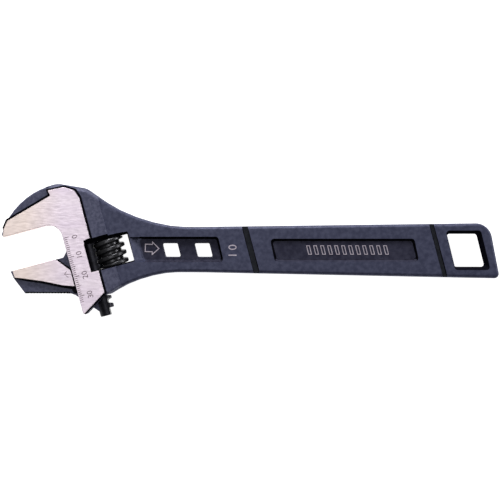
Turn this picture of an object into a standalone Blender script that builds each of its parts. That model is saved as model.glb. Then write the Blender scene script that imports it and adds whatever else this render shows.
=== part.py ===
"""Adjustable wrench with a reversible moving jaw, 250 mm long.

Metres, +Z up. The wrench lies flat: +X runs along the handle to the hanging hole, +Y is the side of
the fixed jaw, and Z = 0 is the lower ground face of the head. The head has a frame of its own, turned
by HEAD_TURN, in which x runs from the sliding edge towards the handle and y along the jaw's travel,
towards the fixed jaw. z = 0 of that frame is the middle of the wrench's thickness.
"""

from math import atan2, cos, pi, radians, sin, tan

import bmesh
import bpy
from mathutils import Matrix, Vector

MM = 0.001

# Overall sizes
HANDLE_END = 125.0 * MM
HEAD_TURN = radians(15.0)
HEAD_PLACE = Vector((-92.0 * MM, 1.0 * MM))
HEAD_THICKNESS = 15.5 * MM
FLANK_THICKNESS = 14.0 * MM
HANDLE_THICKNESS = 12.0 * MM
EDGE_CHAMFER = 1.0 * MM
PLATE_CHAMFER = 0.25 * MM

# How the shapes are made
CUT_OVER = 4.0 * MM
SET_BACK = 0.05 * MM
SMALLEST_RADIUS = 0.05 * MM
NEARLY_STRAIGHT = 0.01
ARC_STEP = radians(8.0)
SHARP_ANGLE = radians(35.0)
TURN_STEPS = 32

# Clearances
RUNNING_GAP = 0.3 * MM
SLIDE_GAP = 0.35 * MM
THREAD_END_GAP = 0.35 * MM
FLANK_GAP = 0.24 * MM
RAIL_END_GAP = 1.1 * MM

# Handle: its two long edges from the neck to the end, its corners, and the slant of what is cut in it
NECK_X = -25.0 * MM
NECK_TOP = 11.6 * MM
NECK_BOTTOM = -11.15 * MM
NECK_RADIUS = 300.0 * MM
UPPER_BEND = Vector((-54.0, 70.0)) * MM
LOWER_BEND = Vector((-52.5, 55.0)) * MM
END_TOP = 13.5 * MM
END_BOTTOM = -14.25 * MM
END_TOP_RADIUS = 8.0 * MM
END_BOTTOM_RADIUS = 1.3 * MM
END_SLANT = 0.19
CUT_SLANT = 0.25

# Web panel with its two windows, near the head
WEB_PANEL_FLOOR = 6.0 * MM
WEB_PANEL_START = -57.0 * MM
WEB_PANEL_LENGTH = 42.4 * MM
WEB_PANEL_TOP = 6.4 * MM
WEB_PANEL_BOTTOM = -5.85 * MM
WINDOW_COUNT = 2
WINDOW_FROM_PANEL = 14.1 * MM
WINDOW_PITCH = 16.0 * MM
WINDOW_LENGTH = 7.3 * MM
WINDOW_HALF_HEIGHT = 3.35 * MM
WINDOW_CORNER = 0.7 * MM
PANEL_CORNER = 1.3 * MM

# Grip panel, the two grooves beside it, and the hanging hole
GROOVE_DEPTH = 0.9 * MM
INNER_GROOVE_X = 0.35 * MM
INNER_GROOVE_WIDTH = 3.5 * MM
OUTER_GROOVE_FROM_END = 31.0 * MM
OUTER_GROOVE_WIDTH = 2.7 * MM
GRIP_PANEL_MARGIN = 11.0 * MM
GRIP_PANEL_DEPTH = 1.5 * MM
GRIP_PANEL_HALF = 5.4 * MM
HANG_FROM_END = 24.8 * MM
HANG_LENGTH = 14.6 * MM
HANG_TOP = 7.5 * MM
HANG_BOTTOM = -8.4 * MM
HANG_DRAFT = 1.7 * MM
HANG_CORNER = 1.4 * MM

# Head, in its own frame
JAW_REACH = 30.15 * MM
FIXED_FACE = 13.35 * MM
THROAT_RADIUS = 7.1 * MM
TIP_RADIUS = 0.9 * MM
HEAD_FOOT = -35.5 * MM
FOOT_RISE = 7.9 * MM
FOOT_RADIUS = 0.6 * MM
LEDGE = Vector((2.5, -0.6, 0.8)) * MM
STEP_X = 22.0 * MM
FLANK_SET_IN = 0.8 * MM
FLANK_CHAMFER = 0.6 * MM

# Corners along the fixed jaw's back: x, height above the jaw's face, and radius. The brow and the
# ground face's two corners beside it are placed from the jaw's tip, the others from the slot's edge
BROW = Vector((11.37, 18.19, 33.0)) * MM
CROWN = Vector((4.03, 19.06, 9.0)) * MM
SHOULDER = Vector((17.63, 12.83, 5.0)) * MM
PLATE_NOSE = Vector((2.85, 3.95, 1.0)) * MM
PLATE_BROW = Vector((5.65, 7.25, 1.0)) * MM
RECESS_CORNER = Vector((-0.7, 13.85, 0.4)) * MM
PLATE_BACK = Vector((-1.3, 16.65, 0.4)) * MM
PLATE_CROWN = Vector((7.0, 16.25, 4.0)) * MM
PLATE_SHOULDER = Vector((11.6, 13.25, 2.0)) * MM
PLATE_SIDE_TOP = 9.25 * MM
PLATE_WIDTH = 13.0 * MM
PLATE_TIP_INSET = 1.3 * MM
PLATE_TIP_RADIUS = 0.2 * MM
PLATE_FOOT_INSET = 1.0 * MM
PLATE_FOOT_RISE = 8.1 * MM
PLATE_SIDE_RADIUS = 1.0 * MM

# Moving jaw, in the head's frame: x from its tip or from the slot's edge, y from its face
MOVING_FACE = -4.15 * MM
CLOSED_GAP = 0.3 * MM
JAW_CORE_THICKNESS = 11.0 * MM
JAW_CORE_CHAMFER = 0.3 * MM
JAW_TIP_INSET = 0.4 * MM
JAW_NOSE = Vector((1.05, -3.8)) * MM
GRIP_START = Vector((4.65, -12.5)) * MM
GRIP_END = Vector((-3.6, -18.4)) * MM
JAW_HEEL = -19.6 * MM
GROUND_TIP_INSET = 1.6 * MM
GROUND_NOSE = Vector((1.85, -3.6)) * MM
GROUND_CHIN = Vector((6.35, -5.3)) * MM
GROUND_BELLY = Vector((-15.5, -8.8)) * MM
GROUND_HEEL = Vector((-5.7, -13.7)) * MM
GROUND_FOOT = -15.5 * MM
CLIPPED_CORNER = Vector((-6.35, -7.4)) * MM
GRIP_TOOTH_PITCH = 1.5 * MM
GRIP_TOOTH_DEPTH = 0.6 * MM
GRIP_TOOTH_FLAT = 0.3 * MM

# The jaw's web and its rail
WEB_THICKNESS = 4.4 * MM
WEB_START = Vector((-2.8, 0.0)) * MM
WEB_KNEE = Vector((-0.8, 2.2)) * MM
WEB_SHOULDER = Vector((0.3, 5.0)) * MM
WEB_TOP_SETBACK = 2.2 * MM
WEB_HEEL = Vector((-4.0, -18.2)) * MM
WEB_BEND = Vector((-1.6, -19.9)) * MM
WEB_HOLLOW = Vector((0.2, -22.2)) * MM
WEB_TOE_X = 5.6 * MM
WEB_TOE_RISE = 5.4 * MM
WEB_END_RISE = 2.9 * MM
WEB_INSIDE = 8.0 * MM
RAIL_X = 11.55 * MM
RAIL_RADIUS = 4.05 * MM
RAIL_TOP = 8.5 * MM
RAIL_FOOT = -38.0 * MM
RAIL_CHAMFER = 0.6 * MM
RACK_START = 4.8 * MM

# Worm, its pin and its spring, in the head's frame
PITCH = 4.0 * MM
WORM_RADIUS = 7.55 * MM
WORM_ROOT = 5.0 * MM
CREST_WIDTH = 1.5 * MM
CREST_ROUND = 0.3 * MM
FLANK_SLOPE = 0.2
THREAD_SUNK = 0.4 * MM
WORM_TOP = -1.05 * MM
WORM_LENGTH = 13.6 * MM
WORM_END_CHAMFER = 0.5 * MM
CREST_PHASE = -2.2 * MM
WORM_END_GAP = 0.35 * MM
BEHIND_WORM = 3.3 * MM
OPENING_LEFT = 9.5 * MM
OPENING_CORNER = 0.5 * MM
PIN_RADIUS = 2.0 * MM
PIN_CHAMFER = 0.5 * MM
PIN_INTO_HEAD = 5.4 * MM
PIN_FOOT = -24.9 * MM
PIN_HEAD_RIM = 0.6 * MM
PIN_HEAD_LENGTH = 3.0 * MM
PIN_HEAD_CHAMFER = 0.3 * MM
DRIVER_SLOT_WIDTH = 0.8 * MM
DRIVER_SLOT_DEPTH = 1.1 * MM
SPRING_WIRE = 0.35 * MM
SPRING_LENGTH = 4.0 * MM
SPRING_TURNS = 4
SPRING_SIDES = 8
SPRING_STEPS = 20

# The thumb's way to the worm: the opening's upper edge, arched and sloped back at both faces
RELIEF_FLOOR = 4.6 * MM
RELIEF_RISE = 1.9 * MM
RELIEF_END_SHARE = 0.45
RELIEF_STEPS = 10

# What follows from them
MIDDLE = HEAD_THICKNESS / 2
CLOSE_TRAVEL = FIXED_FACE - MOVING_FACE - CLOSED_GAP
WORM_X = RAIL_X + RAIL_RADIUS + THREAD_END_GAP + WORM_ROOT
RACK_ROOT_X = WORM_X - WORM_RADIUS - THREAD_END_GAP
RACK_PHASE = CREST_PHASE + PITCH / 4
RACK_LEAN = PITCH / (pi * (WORM_RADIUS + WORM_ROOT))
WORM_FOOT = WORM_TOP - WORM_LENGTH
WORM_BORE = PIN_RADIUS + RUNNING_GAP
OPENING_TOP = WORM_TOP + WORM_END_GAP
OPENING_FOOT = WORM_FOOT - WORM_END_GAP
OPENING_RIGHT = WORM_X + WORM_RADIUS + BEHIND_WORM
PIN_TIP = OPENING_TOP + PIN_INTO_HEAD
PIN_SHOULDER = PIN_FOOT + PIN_HEAD_LENGTH
PIN_HEAD_RADIUS = PIN_RADIUS + PIN_HEAD_RIM
SPRING_RADIUS = PIN_RADIUS + 2 * RUNNING_GAP + SPRING_WIRE
SPRING_TOP = OPENING_TOP - RUNNING_GAP
GRIP_FROM = Vector((-JAW_REACH, MOVING_FACE)) + GRIP_START
GRIP_TO = Vector((0, MOVING_FACE)) + GRIP_END


# ---------------------------------------------------------------- places and outlines


def head_to_world(x, y):
    """A point of the head's frame, in the wrench's own X and Y."""
    turned = Vector((x * cos(HEAD_TURN) - y * sin(HEAD_TURN), x * sin(HEAD_TURN) + y * cos(HEAD_TURN)))
    return tuple(HEAD_PLACE + turned)


def head_matrix():
    """The head's frame at the middle of the wrench's thickness."""
    place = Matrix.Translation((HEAD_PLACE.x, HEAD_PLACE.y, MIDDLE))
    return place @ Matrix.Rotation(HEAD_TURN, 4, "Z")


def from_tip(corner):
    """A corner given from the fixed jaw's tip and face, in the head's frame."""
    return (corner.x - JAW_REACH, corner.y + FIXED_FACE, corner.z)


def from_edge(corner):
    """A corner given from the slot's edge and the fixed jaw's face, in the head's frame."""
    return (corner.x, corner.y + FIXED_FACE, corner.z)


def below_face(x, place):
    """A corner of the moving jaw: place is measured from x and from the jaw's face."""
    return (x + place.x, MOVING_FACE + place.y, 0)


def corner_arc(before, here, after, radius):
    """The points that round one corner of an outline."""
    here = Vector(here)
    back = (Vector(before) - here).normalized()
    ahead = (Vector(after) - here).normalized()
    opening = back.angle(ahead)
    if radius <= 0 or opening > pi - NEARLY_STRAIGHT:
        return [tuple(here)]
    centre = here + (back + ahead).normalized() * radius / sin(opening / 2)
    start = here + back * radius / tan(opening / 2) - centre
    end = here + ahead * radius / tan(opening / 2) - centre
    turn = atan2(start.x * end.y - start.y * end.x, start.dot(end))
    steps = max(2, round(abs(turn) / ARC_STEP))
    angles = [turn * i / steps for i in range(steps + 1)]
    return [tuple(centre + Matrix.Rotation(a, 2) @ start) for a in angles]


def grown(points, distance):
    """A counter-clockwise outline with each edge moved outwards by distance, or inwards if negative."""
    if distance == 0:
        return list(points)
    moved = []
    for i, here in enumerate(points):
        here = Vector(here)
        edge_in = (here - Vector(points[i - 1])).normalized()
        edge_out = (Vector(points[(i + 1) % len(points)]) - here).normalized()
        along = (edge_in + edge_out).normalized()
        reach = distance / along.dot(edge_in)
        moved.append((here.x + along.y * reach, here.y - along.x * reach))
    return moved


def rounded(corners, growth=0.0):
    """An outline from counter-clockwise corners (x, y, radius), moved outwards by growth."""
    places = grown([corner[:2] for corner in corners], growth)
    points = []
    for i, (x, y, radius) in enumerate(corners):
        before, here, after = places[i - 1], places[i], places[(i + 1) % len(corners)]
        ahead = Vector(after) - Vector(here)
        back = Vector(here) - Vector(before)
        convex = back.x * ahead.y - back.y * ahead.x > 0
        if radius > 0:
            radius = max(SMALLEST_RADIUS, radius + (growth if convex else -growth))
        points += corner_arc(before, here, after, radius)
    return points


def slanted_box(left, right, low, high, radius):
    """Corners of a box whose ends lean like all the handle's cuts; left and right are at y = 0."""
    corners = [(left, low), (right, low), (right, high), (left, high)]
    return [(x - CUT_SLANT * y, y, radius) for x, y in corners]


def upright_box(left, right, low, high, radius=0.0):
    return [(left, low, radius), (right, low, radius), (right, high, radius), (left, high, radius)]


# ---------------------------------------------------------------- solids


def face_outwards(bm):
    bmesh.ops.recalc_face_normals(bm, faces=bm.faces)
    if bm.calc_volume(signed=True) < 0:
        bmesh.ops.reverse_faces(bm, faces=bm.faces)


def finish_object(name, bm, matrix=None, smooth=False):
    """Turn a bmesh into a named object."""
    face_outwards(bm)
    mesh = bpy.data.meshes.new(name)
    bm.to_mesh(mesh)
    bm.free()
    if smooth:
        mesh.shade_smooth()
        mesh.set_sharp_from_angle(angle=SHARP_ANGLE)
    obj = bpy.data.objects.new(name, mesh)
    bpy.context.scene.collection.objects.link(obj)
    if matrix is not None:
        obj.matrix_world = matrix
    return obj


def add_skin(bm, rings):
    """Close a row of equal rings of 3-D points into one solid in bm."""
    rings = [[bm.verts.new(point) for point in ring] for ring in rings]
    bm.faces.new(rings[0])
    bm.faces.new(rings[-1])
    for low, high in zip(rings, rings[1:]):
        for i in range(len(low)):
            bm.faces.new((low[i - 1], low[i], high[i], high[i - 1]))


def skinned(name, rings, matrix=None, smooth=False):
    bm = bmesh.new()
    add_skin(bm, rings)
    return finish_object(name, bm, matrix, smooth)


def loft(name, sections, matrix=None):
    """A closed solid through outlines of equal length, each (points, z)."""
    return skinned(name, [[(x, y, z) for x, y in points] for points, z in sections], matrix)


def slab(name, corners, thickness, chamfer=0.0, matrix=None, growth=0.0):
    """An outline of (x, y, radius) corners extruded to both sides of z = 0, with chamfered rims."""
    half = thickness / 2
    points = rounded(corners, growth)
    if chamfer == 0:
        return loft(name, [(points, -half), (points, half)], matrix)
    rim = rounded(corners, growth - chamfer)
    sections = [(rim, -half), (points, chamfer - half), (points, half - chamfer), (rim, half)]
    return loft(name, sections, matrix)


def turned(name, profile, matrix, smooth=True):
    """A solid turned about the y axis of matrix; the profile is (radius, y) pairs."""
    angles = [2 * pi * i / TURN_STEPS for i in range(TURN_STEPS)]
    rings = [[(radius * sin(a), y, radius * cos(a)) for a in angles] for radius, y in profile]
    return skinned(name, rings, matrix, smooth)


def combine(target, other, operation, solver="EXACT"):
    """Add a Boolean to target; the other object becomes a hidden tool."""
    step = target.modifiers.new(other.name, "BOOLEAN")
    step.object = other
    step.operation = operation
    step.solver = solver
    other.hide_render = True
    other.display_type = "WIRE"


def cut(target, *tools, solver="EXACT"):
    for tool in tools:
        combine(target, tool, "DIFFERENCE", solver)


def join(target, *tools, solver="EXACT"):
    for tool in tools:
        combine(target, tool, "UNION", solver)


def metal(name, colour, roughness, metallic):
    material = bpy.data.materials.new(name)
    material.use_nodes = True
    shader = material.node_tree.nodes["Principled BSDF"]
    shader.inputs["Base Color"].default_value = (*colour, 1.0)
    shader.inputs["Roughness"].default_value = roughness
    shader.inputs["Metallic"].default_value = metallic
    return material


# ---------------------------------------------------------------- wrench body


def handle_edge(x, at_neck, at_end):
    """The height of one of the handle's long edges at x."""
    return at_neck + (at_end - at_neck) * (x - NECK_X) / (HANDLE_END - NECK_X)


def head_corner(x, y, radius):
    """A corner of the forging's outline, from the head's frame."""
    return (*head_to_world(x, y), radius)


def body_outline():
    """The whole forging, counter-clockwise from the tip of the fixed jaw."""
    end_top = handle_edge(HANDLE_END, NECK_TOP, END_TOP)
    end_bottom = handle_edge(HANDLE_END, NECK_BOTTOM, END_BOTTOM)
    lean = END_SLANT * (end_top - end_bottom)
    face = FIXED_FACE + SET_BACK
    return [
        head_corner(-JAW_REACH, face, TIP_RADIUS),
        head_corner(SET_BACK, face, THROAT_RADIUS + SET_BACK),
        head_corner(SET_BACK, HEAD_FOOT, TIP_RADIUS),
        head_corner(PLATE_WIDTH, HEAD_FOOT + FOOT_RISE, FOOT_RADIUS),
        head_corner(PLATE_WIDTH + LEDGE.x, HEAD_FOOT + FOOT_RISE + LEDGE.y, LEDGE.z),
        (LOWER_BEND.x, NECK_BOTTOM, LOWER_BEND.y),
        (NECK_X, NECK_BOTTOM, NECK_RADIUS),
        (HANDLE_END, end_bottom, END_BOTTOM_RADIUS),
        (HANDLE_END - lean, end_top, END_TOP_RADIUS),
        (NECK_X, NECK_TOP, NECK_RADIUS),
        (UPPER_BEND.x, NECK_TOP, UPPER_BEND.y),
        head_corner(*from_edge(SHOULDER)),
        head_corner(*from_edge(CROWN)),
        head_corner(*from_tip(BROW)),
    ]


def flank_block():
    """The thicker part of the head, up to the step that crosses it beside the worm."""
    block = slab("flank_block", body_outline(), FLANK_THICKNESS, FLANK_CHAMFER, growth=-FLANK_SET_IN)
    block.location.z = MIDDLE
    edge = Vector(head_to_world(STEP_X, 0)).to_3d()
    along = Vector((cos(HEAD_TURN), sin(HEAD_TURN), 0))
    bm = bmesh.new()
    bm.from_mesh(block.data)
    whole = bm.verts[:] + bm.edges[:] + bm.faces[:]
    cutline = bmesh.ops.bisect_plane(bm, geom=whole, plane_co=edge, plane_no=along, clear_outer=True)
    rim = [item for item in cutline["geom_cut"] if isinstance(item, bmesh.types.BMEdge)]
    bmesh.ops.holes_fill(bm, edges=rim)
    face_outwards(bm)
    bm.to_mesh(block.data)
    bm.free()
    return block


def ground_plate_outline():
    """The ground faces of the head and fixed jaw, in the head's frame."""
    foot = HEAD_FOOT + PLATE_FOOT_INSET
    return [
        (PLATE_TIP_INSET - JAW_REACH, FIXED_FACE, PLATE_TIP_RADIUS),
        (0, FIXED_FACE, THROAT_RADIUS),
        (0, foot, FOOT_RADIUS),
        (PLATE_WIDTH, foot + PLATE_FOOT_RISE, FOOT_RADIUS),
        (PLATE_WIDTH, FIXED_FACE + PLATE_SIDE_TOP, PLATE_SIDE_RADIUS),
        from_edge(PLATE_SHOULDER),
        from_edge(PLATE_CROWN),
        from_edge(PLATE_BACK),
        from_edge(RECESS_CORNER),
        from_tip(PLATE_BROW),
        from_tip(PLATE_NOSE),
    ]


def web_top(clearance=0.0, travel=0.0):
    """The inner end of the moving jaw's web, from its face to the rail, grown and moved for a slot."""
    face = MOVING_FACE - SET_BACK
    shape = [(place.x, face + place.y) for place in (WEB_START, WEB_KNEE, WEB_SHOULDER)]
    shape.append((RAIL_X - RAIL_RADIUS - WEB_TOP_SETBACK, RAIL_TOP - RAIL_CHAMFER))
    return [(x - clearance, y + clearance + travel, 0) for x, y in shape]


def slot_outline():
    """The room that the web sweeps through the head, open to the throat and to the foot."""
    far = HEAD_FOOT - CUT_OVER
    outside = -1.0 * MM
    ceiling = RAIL_TOP + CLOSE_TRAVEL + SLIDE_GAP
    inner = web_top(SLIDE_GAP, CLOSE_TRAVEL)
    throat = [(-THROAT_RADIUS, FIXED_FACE - depth, 0) for depth in (SET_BACK, THROAT_RADIUS / 2)]
    foot = [(outside, far, 0), (RAIL_X, far, 0), (RAIL_X, ceiling, 0)]
    return foot + inner[::-1] + throat + [(outside, 0, 0)]


def relief_outline(z):
    """The thumb relief's outline at a height: its arched upper edge rises towards the face."""
    rise = RELIEF_RISE * (z - RELIEF_FLOOR) / (FLANK_THICKNESS / 2 - RELIEF_FLOOR)
    points = [(OPENING_LEFT, WORM_TOP - WORM_LENGTH / 2), (OPENING_RIGHT, WORM_TOP - WORM_LENGTH / 2)]
    for i in range(RELIEF_STEPS + 1):
        share = 2 * i / RELIEF_STEPS - 1
        height = 1 - (1 - RELIEF_END_SHARE) * share * share
        x = OPENING_RIGHT + (OPENING_LEFT - OPENING_RIGHT) * i / RELIEF_STEPS
        points.append((x, OPENING_TOP + rise * height))
    return points


def worm_opening(frame):
    """The opening for the worm, with its upper edge sloped back at both faces for the thumb."""
    opening = upright_box(OPENING_LEFT, OPENING_RIGHT, OPENING_FOOT, OPENING_TOP, OPENING_CORNER)
    tools = [slab("worm_opening", opening, HEAD_THICKNESS + CUT_OVER, 0, frame)]
    inner = RELIEF_FLOOR - RUNNING_GAP
    outer = HEAD_THICKNESS / 2 + CUT_OVER
    for name, side in (("thumb_relief_upper", 1), ("thumb_relief_lower", -1)):
        sections = [(relief_outline(inner), side * inner), (relief_outline(outer), side * outer)]
        tools.append(loft(name, sections, frame))
    return tools


def pin_bore(place):
    """The bore for the worm's pin, blind above the worm and counterbored at the head's lower edge."""
    counterbore = PIN_HEAD_RADIUS + RUNNING_GAP
    seat = PIN_SHOULDER + RUNNING_GAP
    profile = [
        (counterbore, PIN_FOOT - 2 * CUT_OVER),
        (counterbore, seat),
        (WORM_BORE, seat),
        (WORM_BORE, PIN_TIP + RUNNING_GAP),
    ]
    return turned("pin_bore", profile, place)


def pockets(name, corners, floor):
    """The same pocket from both faces, each down to floor from the middle."""
    points = rounded(corners)
    beyond = HEAD_THICKNESS / 2 + CUT_OVER
    upper = loft(name + "_upper", [(points, floor), (points, beyond)])
    lower = loft(name + "_lower", [(points, -beyond), (points, -floor)])
    upper.location.z = MIDDLE
    lower.location.z = MIDDLE
    return [upper, lower]


def groove(name, middle, width):
    """A groove across both faces of the handle, from edge to edge."""
    tall = 2 * END_TOP
    corners = slanted_box(middle - width / 2, middle + width / 2, -tall, tall, 0)
    return pockets(name, corners, HANDLE_THICKNESS / 2 - GROOVE_DEPTH)


def web_windows():
    windows = []
    for number in range(WINDOW_COUNT):
        left = WEB_PANEL_START + WINDOW_FROM_PANEL + number * WINDOW_PITCH
        right = left + WINDOW_LENGTH
        corners = slanted_box(left, right, -WINDOW_HALF_HEIGHT, WINDOW_HALF_HEIGHT, WINDOW_CORNER)
        window = slab(f"web_window_{number}", corners, HEAD_THICKNESS + CUT_OVER)
        window.location.z = MIDDLE
        windows.append(window)
    return windows


def hanging_hole():
    """A slanted opening whose walls draw in from both faces to a waist at the middle."""
    left = HANDLE_END - HANG_FROM_END
    corners = slanted_box(left, left + HANG_LENGTH, HANG_BOTTOM, HANG_TOP, HANG_CORNER)
    half = HANDLE_THICKNESS / 2
    waist = rounded(corners)
    far = rounded(corners, HANG_DRAFT * (half + CUT_OVER) / half)
    hole = loft("hanging_hole", [(far, -half - CUT_OVER), (waist, 0), (far, half + CUT_OVER)])
    hole.location.z = MIDDLE
    return hole


def handle_cutters():
    web_end = WEB_PANEL_START + WEB_PANEL_LENGTH
    web = slanted_box(WEB_PANEL_START, web_end, WEB_PANEL_BOTTOM, WEB_PANEL_TOP, PANEL_CORNER)
    outer_groove = HANDLE_END - OUTER_GROOVE_FROM_END
    grip_start = INNER_GROOVE_X + GRIP_PANEL_MARGIN
    grip_end = outer_groove - GRIP_PANEL_MARGIN
    grip = slanted_box(grip_start, grip_end, -GRIP_PANEL_HALF, GRIP_PANEL_HALF, PANEL_CORNER)
    return [
        *pockets("web_panel", web, WEB_PANEL_FLOOR / 2),
        *pockets("grip_panel", grip, HANDLE_THICKNESS / 2 - GRIP_PANEL_DEPTH),
        *groove("inner_groove", INNER_GROOVE_X, INNER_GROOVE_WIDTH),
        *groove("outer_groove", outer_groove, OUTER_GROOVE_WIDTH),
        *web_windows(),
        hanging_hole(),
    ]


def wrench_body(frame):
    body = slab("wrench_body", body_outline(), HANDLE_THICKNESS, EDGE_CHAMFER)
    body.location.z = MIDDLE
    plate = slab("ground_plate", ground_plate_outline(), HEAD_THICKNESS, PLATE_CHAMFER, frame)
    join(body, flank_block(), plate, solver="MANIFOLD")

    rail_room = RAIL_RADIUS + SLIDE_GAP
    rail_ends = [(rail_room, RAIL_FOOT - CUT_OVER), (rail_room, RAIL_TOP + CLOSE_TRAVEL + RAIL_END_GAP)]
    cutters = [
        slab("jaw_slot", slot_outline(), WEB_THICKNESS + 2 * RUNNING_GAP, 0, frame),
        turned("rail_bore", rail_ends, frame @ Matrix.Translation((RAIL_X, 0, 0))),
        *worm_opening(frame),
        pin_bore(frame @ Matrix.Translation((WORM_X, 0, 0))),
        *handle_cutters(),
    ]
    cut(body, *cutters, solver="MANIFOLD")
    body.data.materials.append(metal("phosphate_black", (0.055, 0.06, 0.095), 0.45, 0.6))


# ---------------------------------------------------------------- moving jaw


def jaw_core_outline():
    """The moving jaw's dark lower part and everything under its ground faces."""
    inner = -RUNNING_GAP - SET_BACK
    face = MOVING_FACE - SET_BACK
    return [
        (JAW_TIP_INSET - JAW_REACH, face, 0),
        below_face(-JAW_REACH, JAW_NOSE),
        (*GRIP_FROM, 0),
        (*GRIP_TO, 0),
        (inner, MOVING_FACE + JAW_HEEL, 0),
        (inner, MOVING_FACE + CLIPPED_CORNER.y, 0),
        (CLIPPED_CORNER.x - SET_BACK, face, 0),
    ]


def ground_jaw_outline():
    """The moving jaw's ground faces."""
    inner = -RUNNING_GAP
    return [
        (GROUND_TIP_INSET - JAW_REACH, MOVING_FACE, 0),
        below_face(-JAW_REACH, GROUND_NOSE),
        below_face(-JAW_REACH, GROUND_CHIN),
        below_face(0, GROUND_BELLY),
        below_face(0, GROUND_HEEL),
        (inner, MOVING_FACE + GROUND_FOOT, 0),
        (inner, MOVING_FACE + CLIPPED_CORNER.y, 0),
        (CLIPPED_CORNER.x, MOVING_FACE, 0),
    ]


def web_outline():
    """The thin web that joins the jaw to its rail through the head's slot."""
    end = RAIL_FOOT + WEB_END_RISE
    foot = [
        below_face(0, WEB_HEEL),
        below_face(0, WEB_BEND),
        below_face(0, WEB_HOLLOW),
        (WEB_TOE_X, RAIL_FOOT + WEB_TOE_RISE, 0),
        (RAIL_X - RAIL_RADIUS + RUNNING_GAP, end, 0),
        (RAIL_X, end, 0),
        (RAIL_X, RAIL_TOP - RAIL_CHAMFER, 0),
    ]
    middle = (GROUND_HEEL.y + GROUND_BELLY.y) / 2
    inside = [(-WEB_INSIDE, MOVING_FACE - SET_BACK, 0), (-WEB_INSIDE, MOVING_FACE + middle, 0)]
    return foot + web_top()[::-1] + inside


def rack_gaps(frame):
    """One tool for all the gaps between the rack's teeth, leaning by the worm's lead."""
    reach_z = RAIL_RADIUS + PITCH / 4
    tip_x = RAIL_X + RAIL_RADIUS + PITCH / 4
    root_half = CREST_WIDTH / 2 + FLANK_GAP - FLANK_SLOPE * THREAD_END_GAP
    tip_half = root_half + FLANK_SLOPE * (tip_x - RACK_ROOT_X)
    middle = RACK_PHASE + PITCH * (1 / 2 + round((RAIL_TOP - RACK_PHASE) / PITCH))
    bm = bmesh.new()
    while middle > RAIL_FOOT + RACK_START - PITCH / 2:
        section = [
            (RACK_ROOT_X, middle - root_half),
            (tip_x, middle - tip_half),
            (tip_x, middle + tip_half),
            (RACK_ROOT_X, middle + root_half),
        ]
        add_skin(bm, [[(x, y + RACK_LEAN * z, z) for x, y in section] for z in (-reach_z, reach_z)])
        middle -= PITCH
    return finish_object("rack_gaps", bm, frame)


def rack_end(frame):
    """Takes the rail down to the rack's root below its last tooth."""
    last_gap = RACK_PHASE - PITCH / 2 - PITCH * round((RACK_PHASE - RAIL_FOOT) / PITCH - 1)
    right = RAIL_X + RAIL_RADIUS + CUT_OVER
    corners = upright_box(RACK_ROOT_X, right, RAIL_FOOT - CUT_OVER, last_gap + CREST_WIDTH / 2)
    return slab("rack_end", corners, 4 * RAIL_RADIUS, 0, frame)


def grip_tooth_gaps(frame):
    """The V gaps of the pipe-grip edge, as one tool."""
    along = (GRIP_TO - GRIP_FROM).normalized()
    inward = Vector((-along.y, along.x))
    count = int((GRIP_TO - GRIP_FROM).length / GRIP_TOOTH_PITCH) - 1
    below = -GRIP_TOOTH_DEPTH * inward
    lip = GRIP_TOOTH_FLAT / 2
    bm = bmesh.new()
    for i in range(count):
        foot = GRIP_FROM + along * GRIP_TOOTH_PITCH * (i + 1)
        section = [
            foot + below - along * lip,
            foot + below + along * (GRIP_TOOTH_PITCH - lip),
            foot + along * (GRIP_TOOTH_PITCH - GRIP_TOOTH_FLAT),
            foot + along * GRIP_TOOTH_PITCH / 4 + inward * GRIP_TOOTH_DEPTH,
        ]
        add_skin(bm, [[(*point, z) for point in section] for z in (-HEAD_THICKNESS, HEAD_THICKNESS)])
    return finish_object("grip_tooth_gaps", bm, frame)


def moving_jaw(frame):
    jaw = slab("moving_jaw", jaw_core_outline(), JAW_CORE_THICKNESS, JAW_CORE_CHAMFER, frame)
    plate = slab("ground_jaw_plate", ground_jaw_outline(), HEAD_THICKNESS, PLATE_CHAMFER, frame)
    web = slab("jaw_web", web_outline(), WEB_THICKNESS, 0, frame)
    ends = [
        (RAIL_RADIUS - RAIL_CHAMFER, RAIL_FOOT),
        (RAIL_RADIUS, RAIL_FOOT + RAIL_CHAMFER),
        (RAIL_RADIUS, RAIL_TOP - RAIL_CHAMFER),
        (RAIL_RADIUS - RAIL_CHAMFER, RAIL_TOP),
    ]
    rail = turned("jaw_rail", ends, frame @ Matrix.Translation((RAIL_X, 0, 0)))
    join(jaw, plate, web, rail)
    cut(jaw, rack_gaps(frame), rack_end(frame), grip_tooth_gaps(frame))
    jaw.data.materials.append(metal("ground_steel", (0.72, 0.66, 0.70), 0.32, 1.0))


# ---------------------------------------------------------------- worm, pin and spring


def worm_thread(place):
    """The thread, swept past both ends of the worm and sunk a little into its core."""
    sunk = WORM_ROOT - THREAD_SUNK
    crest_half = CREST_WIDTH / 2
    root_half = crest_half + FLANK_SLOPE * (WORM_RADIUS - sunk)
    round_off = CREST_ROUND
    section = [
        (sunk, -root_half),
        (WORM_RADIUS - round_off, -crest_half - FLANK_SLOPE * round_off),
        (WORM_RADIUS, -crest_half + round_off),
        (WORM_RADIUS, crest_half - round_off),
        (WORM_RADIUS - round_off, crest_half + FLANK_SLOPE * round_off),
        (sunk, root_half),
    ]
    first = CREST_PHASE - PITCH * (round((CREST_PHASE - WORM_FOOT) / PITCH) + 1)
    turns = WORM_LENGTH / PITCH + 2
    rings = []
    for i in range(round(turns * TURN_STEPS)):
        angle = 2 * pi * i / TURN_STEPS
        rise = first + PITCH * i / TURN_STEPS
        rings.append([(radius * sin(angle), rise + y, radius * cos(angle)) for radius, y in section])
    return skinned("worm_thread", rings, place, smooth=True)


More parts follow.
